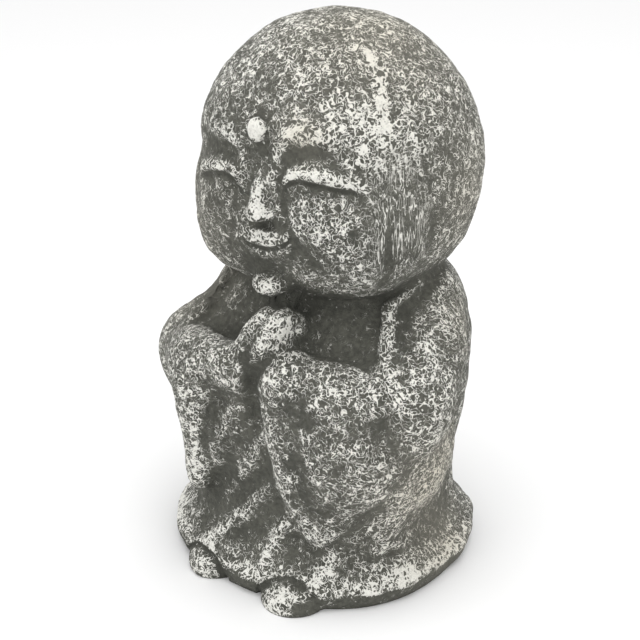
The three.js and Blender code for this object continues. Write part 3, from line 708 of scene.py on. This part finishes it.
# Where the brush left more or less paint: a name, a place, a reach and an
# amount. Left and right are the figure's own.
BRUSH_PATCHES = [
    ("crown", (12, 0, 208), 34, 0.04),
    ("crown, before", (8, -29, 195), 9, 0.1),
    ("forehead, left", (29, -30, 183), 12, 0.26),
    ("temple, left", (38, -24, 175), 12, 0.25),
    ("outer eye", (42, -22, 167), 9, 0.18),
    ("forehead, right", (-8, -33, 191), 11, 0.14),
    ("middle of the brow", (15, -39.5, 176), 8, 0.2),
    ("lid left, outer", (36, -31, 163), 6, 0.12),
    ("nose bridge", (3, -43, 158), 4, 0.5),
    ("nose tip", (1.5, -46, 150), 5.4, 0.85),
    ("brow bead", (1, -45.5, 178), 4.5, 1.4),
    ("cheek left", (21, -42, 148), 7, 0.2),
    ("cheek left, outer", (31, -36, 150), 9, 0.2),
    ("cheek left, low", (27, -38, 136), 10, 0.16),
    ("upper lip", (0, -41.5, 138), 6, 0.5),
    ("under the lip", (0, -41, 131), 4, 0.25),
    ("chin", (1.5, -40.5, 119), 6, 0.5),
    ("back of the left hand", (9, -42, 104), 8, 0.9),
    ("back of the right hand", (-3, -47, 104), 6, 0.5),
    ("crook", (46, -34, 87), 7, 0.7),
    ("cuff", (12, -50, 92), 7, 0.1),
    ("shoulder", (44, -17, 101), 9, 0.2),
    ("sleeve edge, top", (15, -60, 86), 5, 0.3),
    ("sleeve edge", (14, -58, 70), 6, 0.2),
    ("sleeve edge, low", (17, -54, 52), 6, 0.2),
    ("sleeve tip", (21, -45, 28), 8, 0.25),
    ("flank", (54, -14, 46), 20, 0.3),
    ("hem flank", (54, -22, 22), 14, 0.3),
    ("under the sleeve", (41, -43, 24), 9, 0.35),
    ("lining", (-18, -49, 56), 13, 0.08),
    ("right sleeve ridge, low", (-28, -49, 44), 7, 0.3),
    ("hem right", (-50, -38, 8), 12, 0.4),
    ("hem left", (50, -26, 12), 11, 0.25),
    ("hem left, back", (56, 5, 10), 12, 0.2),
    ("hem front", (30, -48, 12), 10, 0.25),
    ("hem middle", (0, -51, 16), 11, 0.2),
    ("toe right", (-18, -60, 7), 8, 0.55),
    ("toe left", (18, -61, 6), 9, 0.55),
    ("right sleeve ridge", (-24, -53, 72), 7, 0.2),
    ("right elbow", (-45, -32, 88), 12, 0.1),
]
BARE_PLACES = [
    ("lap", (-4, -48, 40), 16, 0.14),
    ("chest", (18, -26, 104), 13, 0.42),
    ("chest right", (-16, -32, 100), 9, 0.5),
    ("crown, bare", (27, -20.5, 193.5), 3.5, 0.35),
    ("forehead, bare", (-4, -35, 189), 11, 0.16),
    ("forehead, far", (-22, -33, 184), 10, 0.1),
    ("behind the temple", (51, -8, 162), 16, 0.12),
    ("far arm", (-46, -26, 94), 13, 0.08),
    ("beside the nose", (9.5, -41, 158), 4, 0.3),
    ("cheek by the mouth", (14, -40, 136), 6, 0.3),
    ("right cheek", (-22, -42, 150), 9, 0.12),
    ("left sleeve", (36, -46, 62), 20, 0.06),
    ("under the ear", (46, -18, 122), 9, 0.25),
    ("between the sleeves", (-2, -49, 84), 5, 0.3),
]
WARM_PLACES = [
    ("crown", (20, 0, 205), 30, 0.6),
    ("brow", (16, -40, 177), 8, 0.5),
    ("left head edge", (53, 10, 150), 22, 0.5),
    ("shoulder edge", (50, 8, 100), 16, 0.4),
    ("left flank", (50, -12, 52), 24, 0.8),
    ("hem left", (54, 0, 14), 20, 0.6),
    ("far shoulder", (-46, -12, 100), 22, 0.5),
    ("far cheek", (-36, -30, 140), 22, 0.35),
]
STREAK_PLACE = ((44.5, -22, 142), (12.0, 12.0, 30.0))

# Crests that the brush ran along: a name, points, a reach and an amount
BRUSHED_LINES = [
    ("crust of paint", PAINT_CRUST, 2.6, 0.5),
    ("left sleeve, front edge",
     [(3.6, -49, 80), (6.9, -49.3, 64), (11, -46.9, 45), (17.8, -43.4, 30), (26, -44, 24)], 3.2, 0.3),
    ("right sleeve, crest", [(-18.6, -49, 86.6), (-26.5, -49, 57), (-32, -48, 29)], 4.2, 0.3),
    ("collar", [(36, -16, 112), (40, -23, 102), (44, -30, 91)], 3.2, 0.12),
    ("hem edge", [(-57, -12, 9), (-52, -32, 9), (-38, -47, 9)], 5.0, 0.25),
    ("hem edge, left", [(36, -48, 9), (50, -34, 9), (58, -12, 9), (57, 10, 9)], 4.0, 0.12),
]


def grid_smoothed(grid, rounds):
    """Repeated means of each point and its four neighbours, with the end rows held."""
    smoothed = grid.copy()
    for _ in range(rounds):
        beside = np.roll(smoothed, 1, axis=1) + np.roll(smoothed, -1, axis=1)
        inner = (smoothed[:-2] + smoothed[2:] + beside[1:-1] + smoothed[1:-1]) / 5.0
        smoothed = np.concatenate([smoothed[:1], inner, smoothed[-1:]])
    return smoothed


def patch_sum(p, places):
    """A sum of bells around named places, each with its reach and amount."""
    total = np.zeros(len(p))
    for _, centre, reach, amount in places:
        total += amount * bump(np.linalg.norm(p - np.asarray(centre, dtype=float), axis=1), reach)
    return total


def face_marks(p):
    """Bells of the way to each line of the face: paint on lids and brows, none in creases and sockets."""
    r = head_place(p)
    on_face = (r[:, 1] < 0.0) & (np.abs(ellipsoid(r, (0, 0, 0), HEAD_RADII)) < 9.0)
    u, v = np.arctan2(r[:, 0], -r[:, 1]) * AROUND, r[:, 2] + HEAD_CENTRE[2]
    a, high = np.abs(u), v + RIGHT_BROW_LOWER * right_share(u)
    above = over_crease(u, v)
    along_lid = along_crease(u, 8.8, 12.0, 31.0, 41.0)
    marks = along_lid * 0.3 * bump(above - 2.2, 2.0)
    marks -= along_lid * (0.8 + 0.4 * right_share(u)) * bump(above + 0.3, 0.75 + 0.25 * right_share(u))
    socket = high - 171.5 + 3.2 * ((a - 20.0) / 8.5) ** 2
    marks += ridge(a, high, BROW, 0.25, 2.2)
    marks -= 0.42 * bump(socket, 1.9) * smooth_step(10.0, 12.5, a) * smooth_step(33.0, 29.0, a)
    # Bare stone under the nose: partly its unpainted underside, partly painted shadow that the nose casts
    marks -= 1.1 * bump(u - 2.5, 5.5) * bump(v - 144.4, 2.3)
    return marks * on_face


# How much paint the surface takes, and how far around a point this looks
BASE_PAINT = 0.255
RAISED_PAINT = 0.14
BROAD_PAINT = 0.12
UPWARD_PAINT = 0.04
CLOSED_PAINT = -0.6
PATCH_STRENGTH = 0.8
UNDER_HEM_PAINT = -1.2
FINE_SMOOTHING = 10
BROAD_SMOOTHING = 90
CLOSED_REACHES = ((2.5, 0.5), (7.0, 0.5))


def paint_marks(grid, normal):
    """Paint, hollow (how closed in, the mask for painted shade), warmth and streaks at each point.

    Paint is a base, plus how far the surface stands over its smoothed self, less how
    closed in it is, plus the named patches and lines, so that raised and open places
    catch the brush.
    """
    p = grid.reshape(-1, 3)
    fine = ((grid - grid_smoothed(grid, FINE_SMOOTHING)).reshape(-1, 3) * normal).sum(axis=1)
    broad = ((grid - grid_smoothed(grid, BROAD_SMOOTHING)).reshape(-1, 3) * normal).sum(axis=1)
    closed = np.zeros(len(p))
    for reach, weight in CLOSED_REACHES:
        closed += weight * np.clip(1.0 - figure(p + normal * reach) / reach, 0.0, 1.0)
    paint = BASE_PAINT + RAISED_PAINT * np.clip(fine / 0.15, -0.7, 0.9)
    paint += BROAD_PAINT * np.clip(broad / 0.8, -0.8, 0.8)
    paint += UPWARD_PAINT * normal[:, 2] + CLOSED_PAINT * closed
    paint += PATCH_STRENGTH * patch_sum(p, BRUSH_PATCHES) - patch_sum(p, BARE_PLACES) + face_marks(p)
    for _, joints, reach, amount in BRUSHED_LINES:
        paint += amount * bump(limb(p, joints, [0.0] * len(joints)), reach)
    on_robe = (np.abs(robe(p)) < 2.5) & (p[:, 1] < -20.0)
    for line, _, width in LAP_FOLDS:
        paint += ridge(p[:, 0], p[:, 2], line, 0.2, 0.7 * width) * on_robe
    on_toes = np.exp(-((np.abs(p[:, 0]) - 18.0) / 11.0) ** 4) * (p[:, 1] < -45.0)
    paint += UNDER_HEM_PAINT * smooth_step(7.0, 5.0, p[:, 2]) * (1.0 - on_toes)
    centre, reach = STREAK_PLACE
    streak = np.exp(-(((p - np.asarray(centre)) / np.asarray(reach)) ** 2).sum(axis=1))
    return {
        "paint": np.clip(paint, 0.0, 1.5),
        # hollow: how closed in each point is; the finish turns it into painted shade on the bare stone
        "hollow": np.clip(closed * 1.6, 0.0, 1.0),
        "warmth": np.clip(patch_sum(p, WARM_PLACES), 0.0, 1.0),
        "streak": streak,
    }


def grid_faces(rows, columns):
    """Two triangles for each cell, a fan to the crown and a fan to the middle of the base."""
    index = np.arange(rows * columns).reshape(rows, columns)
    beside = np.roll(index, -1, axis=1)
    a, b, c, d = index[:-1], beside[:-1], beside[1:], index[1:]
    lower = np.stack([a, b, c], axis=2).reshape(-1, 3)
    upper = np.stack([a, c, d], axis=2).reshape(-1, 3)
    crown, base = rows * columns, rows * columns + 1
    top = np.stack([index[-1], beside[-1], np.full(columns, crown)], axis=1)
    bottom = np.stack([beside[0], index[0], np.full(columns, base)], axis=1)
    return np.concatenate([lower, upper, top, bottom])


def new_piece(name, points, faces):
    """A mesh object at the origin from arrays of points and triangles."""
    mesh = bpy.data.meshes.new(name)
    mesh.vertices.add(len(points))
    mesh.vertices.foreach_set("co", points.astype(np.float32).ravel())
    mesh.loops.add(faces.size)
    mesh.loops.foreach_set("vertex_index", faces.astype(np.int32).ravel())
    mesh.polygons.add(len(faces))
    mesh.polygons.foreach_set("loop_start", np.arange(0, faces.size, 3, dtype=np.int32))
    mesh.polygons.foreach_set("use_smooth", np.ones(len(faces), dtype=bool))
    mesh.update(calc_edges=True)
    mesh.validate()
    piece = bpy.data.objects.new(name, mesh)
    bpy.context.scene.collection.objects.link(piece)
    return piece


def add_attribute(piece, name, values):
    """A number kept at each point of a mesh."""
    attribute = piece.data.attributes.new(name=name, type="FLOAT", domain="POINT")
    attribute.data.foreach_set("value", values.astype(np.float32))


# The finish

class Tree:
    """A short way to add nodes to a material and link them."""

    def __init__(self, material):
        material.use_nodes = True
        self.nodes = material.node_tree.nodes
        self.links = material.node_tree.links

    def add(self, kind, inputs=None, **settings):
        """Adds a node, with its inputs given as numbers, colours or other nodes' outputs."""
        node = self.nodes.new(kind)
        for name, value in settings.items():
            setattr(node, name, value)
        for name, value in (inputs or {}).items():
            self.connect(node.inputs[name], value)
        return node

    def connect(self, socket, value):
        """Links another node's output to a socket, or sets a number or colour on it."""
        if isinstance(value, bpy.types.NodeSocket):
            self.links.new(value, socket)
        else:
            socket.default_value = value

    def sum(self, kind, a, b, clamp=False):
        """One step of arithmetic on two values."""
        node = self.add("ShaderNodeMath", {0: a, 1: b}, operation=kind, use_clamp=clamp)
        return node.outputs[0]

    def noise(self, place, scale, detail=2.0, roughness=0.5, distortion=0.0):
        """Noise around 0.5 at a scale per metre."""
        node = self.add("ShaderNodeTexNoise", {
            "Vector": place, "Scale": scale, "Detail": detail, "Roughness": roughness,
            "Distortion": distortion})
        return node.outputs["Fac"]

    def span(self, value, low, high, to_low=0.0, to_high=1.0, kind="SMOOTHSTEP"):
        """A value's span brought to another span."""
        node = self.add("ShaderNodeMapRange", {
            "Value": value, "From Min": low, "From Max": high, "To Min": to_low, "To Max": to_high},
            interpolation_type=kind)
        return node.outputs["Result"]

    def mix(self, share, a, b):
        """Two colours mixed by a share."""
        node = self.add("ShaderNodeMix", data_type="RGBA")
        for place, value in ((0, share), (6, a), (7, b)):
            self.connect(node.inputs[place], value)
        return node.outputs[2]

    def off_middle(self, noise):
        """How far a noise is from its middle value."""
        return self.sum("ABSOLUTE", self.sum("SUBTRACT", noise, 0.5), 0.0)

    def band(self, width, off, start, end):
        """A band of a half width around a line, with a soft edge."""
        return self.span(self.sum("SUBTRACT", width, off), start, end)

    def attribute(self, name):
        """A number kept at the mesh's points."""
        return self.add("ShaderNodeAttribute", attribute_name=name).outputs["Fac"]


def rgba(colour):
    """A colour with full cover."""
    return (*colour, 1.0)


# Shares of the finish
STREAK_STRETCH = 0.09
SECOND_COAT = 0.75
PAINT_COVER = 0.94
# How strongly painted shade darkens the bare stone in closed-in places
HOLLOW_PAINTED_SHADE = 0.55
WARM_WASH = 0.14
STONE_ROUGHNESS = 0.9
STONE_SPECULAR = 0.25
SECOND_OFFSET = (0.31, 0.17, 0.53)


def brushed_stone(finish):
    """Dark stone, mottled and darkened by painted shade in the hollows, with winding white brush marks that
    follow the raised grain.
    """
    material = bpy.data.materials.new("brushed_stone")
    tree = Tree(material)
    shader = tree.nodes["Principled BSDF"]
    place = tree.add("ShaderNodeTexCoord").outputs["Object"]
    paint, hollow = tree.attribute("paint"), tree.attribute("hollow")
    warmth, streak = tree.attribute("warmth"), tree.attribute("streak")
    stroke = 1.0 / finish.stroke_spacing

    # Winding marks: places where a noise is close to its middle value
    winding = tree.noise(place, stroke, 1.0, 0.5, 0.8)
    aside = tree.add("ShaderNodeVectorMath", {0: place, 1: SECOND_OFFSET}).outputs[0]
    second = tree.noise(aside, stroke * 1.5, 1.0, 0.5, 0.8)
    from_line, from_second = tree.off_middle(winding), tree.off_middle(second)
    broad = tree.sum("SUBTRACT", tree.noise(place, stroke * 0.16, 2.0, 0.6), 0.5)
    patchy = tree.sum("SUBTRACT", tree.noise(place, stroke * 0.5, 1.5, 0.55), 0.5)
    breaks = tree.sum("SUBTRACT", tree.noise(aside, stroke * 1.1, 1.0, 0.5), 0.5)
    load = paint
    for unevenness, share in ((broad, 0.35), (patchy, 0.5), (breaks, 0.9)):
        load = tree.sum("ADD", load, tree.sum("MULTIPLY", unevenness, share))
    load = tree.sum("ADD", load, finish.brush_load - 0.5)
    width = tree.span(load, -0.1, 1.2, -0.01, 0.07, "LINEAR")
    width = tree.sum("ADD", width, tree.span(load, 0.65, 1.35, 0.0, 0.09))
    first_marks = tree.band(width, from_line, -0.005, 0.008)
    second_marks = tree.band(tree.sum("MULTIPLY", width, SECOND_COAT), from_second, -0.005, 0.008)
    dots = tree.noise(aside, stroke * 2.4, 0.5, 0.5)
    dot_level = tree.span(load, 0.1, 1.0, 0.8, 0.58, "LINEAR")
    dot_marks = tree.band(dots, dot_level, -0.01, 0.02)
    marks = tree.sum("MAXIMUM", tree.sum("MAXIMUM", first_marks, second_marks), dot_marks)
    marks = tree.sum("MULTIPLY", marks, tree.span(load, -0.1, 0.7, 0.6, 1.0))

    # Upright streaks before the ear
    tall = tree.add("ShaderNodeMapping", {"Vector": place, "Scale": (1.0, 1.0, STREAK_STRETCH)}).outputs[0]
    from_streak = tree.off_middle(tree.noise(tall, stroke * 2.8, 1.0, 0.5))
    streak_width = tree.span(load, 0.0, 1.2, -0.005, 0.08, "LINEAR")
    streak_marks = tree.band(streak_width, from_streak, -0.006, 0.012)
    streak_share = tree.span(streak, 0.15, 0.75, 0.0, 0.85)
    marks = tree.sum("ADD", tree.sum("MULTIPLY", marks, tree.sum("SUBTRACT", 1.0, streak_share)),
                     tree.sum("MULTIPLY", streak_marks, streak_share), clamp=True)

    # The bare stone: mottled grey, with painted shade that darkens it where the surface is closed in, lighter
    # where a thin wash lies on it
    mottle = tree.noise(place, stroke * 1.6, 3.0, 0.65)
    stone_share = tree.sum("ADD", tree.span(mottle, 0.25, 0.75), tree.sum("MULTIPLY", broad, 1.2))
    painted_shade = tree.sum("MULTIPLY", hollow, HOLLOW_PAINTED_SHADE)
    stone_share = tree.sum("SUBTRACT", stone_share, painted_shade, clamp=True)
    stone = tree.mix(stone_share, rgba(finish.dark_stone_and_shade), rgba(finish.worn_stone))
    stone = tree.mix(tree.sum("MULTIPLY", warmth, WARM_WASH), stone, rgba(finish.warm_white))
    speck = tree.noise(place, stroke * 4.0, 2.0, 0.6)
    white = tree.mix(warmth, rgba(finish.brushed_white), rgba(finish.warm_white))
    white = tree.mix(tree.span(speck, 0.3, 0.55, 0.3, 0.0), white, rgba(finish.worn_stone))
    colour = tree.mix(tree.sum("MULTIPLY", marks, PAINT_COVER), stone, white)
    tree.links.new(colour, shader.inputs["Base Color"])

    # The marks lie on raised grain
    crest = tree.span(from_line, 0.0, 0.12, 1.0, 0.0)
    height = tree.sum("ADD", tree.sum("MULTIPLY", crest, 0.55), tree.sum("MULTIPLY", speck, 0.5))
    height = tree.sum("ADD", height, tree.sum("MULTIPLY", mottle, 0.6))
    bumps = tree.add("ShaderNodeBump", {
        "Height": height, "Strength": 0.8, "Distance": finish.grain_height * 2.0})
    tree.links.new(bumps.outputs["Normal"], shader.inputs["Normal"])
    shader.inputs["Roughness"].default_value = STONE_ROUGHNESS
    shader.inputs["Specular IOR Level"].default_value = STONE_SPECULAR
    return material


def plain_material(name, colour, roughness):
    """One even colour, for the floor."""
    material = bpy.data.materials.new(name)
    shader = Tree(material).nodes["Principled BSDF"]
    shader.inputs["Base Color"].default_value = rgba(colour)
    shader.inputs["Roughness"].default_value = roughness
    return material


# How far the finished height may be from the one asked for
HEIGHT_ALLOWANCE = 0.03


class MONK_OT_figure(bpy.types.Operator):
    """Builds the whole figure as one closed surface"""

    bl_idname = "monk.figure"
    bl_label = "Build the figure"

    def execute(self, context):
        shape = context.scene.monk_shape
        grid = surface_grid()
        points = grid.reshape(-1, 3)
        normal = slope(points)
        normal[: grid.shape[1], 2] = 0.0
        normal /= np.linalg.norm(normal, axis=1, keepdims=True)
        points = points + normal * fine_relief(points, shape)[:, None]
        grid = points.reshape(grid.shape)
        marks = paint_marks(grid, normal)
        crown, base = grid[-1].mean(axis=0), np.zeros(3)
        all_points = np.concatenate([points, [crown, base]]) * (shape.height / PARTS_TALL)
        piece = new_piece("monk_figure", all_points, grid_faces(*grid.shape[:2]))
        for name, values in marks.items():
            ends = [values[-grid.shape[1]:].mean(), 0.0]
            add_attribute(piece, name, np.concatenate([values, ends]))
        piece.data.materials.append(brushed_stone(context.scene.monk_finish))
        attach(piece, "root")
        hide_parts(NODE)
        off = abs(all_points[:, 2].max() - all_points[:, 2].min() - shape.height)
        if not np.isfinite(all_points).all() or off > HEIGHT_ALLOWANCE * shape.height:
            raise RuntimeError("The figure's surface didn't settle at the height asked for")
        return {"FINISHED"}


FLOOR_REACH = 3.0
LAMP_AIM = Vector((0.0, 0.0, 0.1))
# The soft lights: a name, a place, a width and a share of the top light
LAMPS = [
    ("overhead", Vector((0.1, -0.1, 1.1)), 0.9, 1.0),
    ("front fill", Vector((-0.2, -1.0, 0.6)), 0.5, 0.15),
]
LOOK_HEIGHT = 0.092
LOOK_ASIDE = -0.004


class MONK_OT_stage(bpy.types.Operator):
    """Lays the floor and sets the lights and the camera"""

    bl_idname = "monk.stage"
    bl_label = "Set the stage"

    def execute(self, context):
        scene = context.scene
        studio = scene.monk_studio
        corners = FLOOR_REACH * np.array([(-1, -1, 0), (1, -1, 0), (1, 1, 0), (-1, 1, 0)])
        floor = new_piece("floor", corners, np.array([(0, 1, 2), (0, 2, 3)]))
        floor.data.materials.append(plain_material("pale_floor", studio.floor_colour, 0.9))

        world = bpy.data.worlds.new("soft_white")
        world.use_nodes = True
        background = world.node_tree.nodes["Background"]
        background.inputs["Color"].default_value = (1.0, 1.0, 1.0, 1.0)
        background.inputs["Strength"].default_value = studio.sky_light
        scene.world = world
        scene.view_settings.view_transform = "Standard"

        for name, place, size, share in LAMPS:
            lamp = bpy.data.lights.new(name, "AREA")
            lamp.shape = "DISK"
            lamp.size = size
            lamp.energy = studio.top_light * share
            light = bpy.data.objects.new(name, lamp)
            light.location = place
            light.rotation_euler = (LAMP_AIM - place).to_track_quat("-Z", "Y").to_euler()
            scene.collection.objects.link(light)

        turn, climb = studio.camera_turn, studio.camera_climb
        aim = Vector((LOOK_ASIDE * math.cos(turn), LOOK_ASIDE * math.sin(turn), LOOK_HEIGHT))
        away = Vector((math.sin(turn) * math.cos(climb), -math.cos(turn) * math.cos(climb), math.sin(climb)))
        camera_data = bpy.data.cameras.new("camera")
        camera_data.sensor_width = 36.0
        camera_data.lens = studio.lens
        camera_data.clip_start = 0.01
        camera = bpy.data.objects.new("camera", camera_data)
        camera.location = aim + away * studio.camera_distance
        camera.rotation_euler = (-away).to_track_quat("-Z", "Y").to_euler()
        scene.collection.objects.link(camera)
        scene.camera = camera
        if studio.camera_distance * math.cos(climb) < context.scene.monk_shape.height * 0.5:
            raise RuntimeError("The camera would stand inside the figure")
        return {"FINISHED"}


class MONK_PT_panel(bpy.types.Panel):
    """Lists the figure's sizes, its finish and the stage"""

    bl_label = "Cast-stone monk"
    bl_idname = "MONK_PT_panel"
    bl_space_type = "VIEW_3D"
    bl_region_type = "UI"
    bl_category = "Monk"

    def draw(self, context):
        for group in (context.scene.monk_shape, context.scene.monk_finish, context.scene.monk_studio):
            box = self.layout.box()
            for name in group.__annotations__:
                box.prop(group, name)
        self.layout.operator(MONK_OT_figure.bl_idname)
        self.layout.operator(MONK_OT_stage.bl_idname)


CLASSES = (MonkShape, StoneFinish, Studio, MONK_OT_figure, MONK_OT_stage, MONK_PT_panel)


def register():
    """Registers the classes and hangs the settings on the scene."""
    for each in CLASSES:
        bpy.utils.register_class(each)
    bpy.types.Scene.monk_shape = bpy.props.PointerProperty(type=MonkShape)
    bpy.types.Scene.monk_finish = bpy.props.PointerProperty(type=StoneFinish)
    bpy.types.Scene.monk_studio = bpy.props.PointerProperty(type=Studio)


def unregister():
    """Takes the settings and the classes away again."""
    del bpy.types.Scene.monk_studio
    del bpy.types.Scene.monk_finish
    del bpy.types.Scene.monk_shape
    for each in reversed(CLASSES):
        bpy.utils.unregister_class(each)


def main():
    """Builds everything in order."""
    register()
    bpy.ops.monk.figure()
    bpy.ops.monk.stage()


if __name__ == "__main__":
    main()
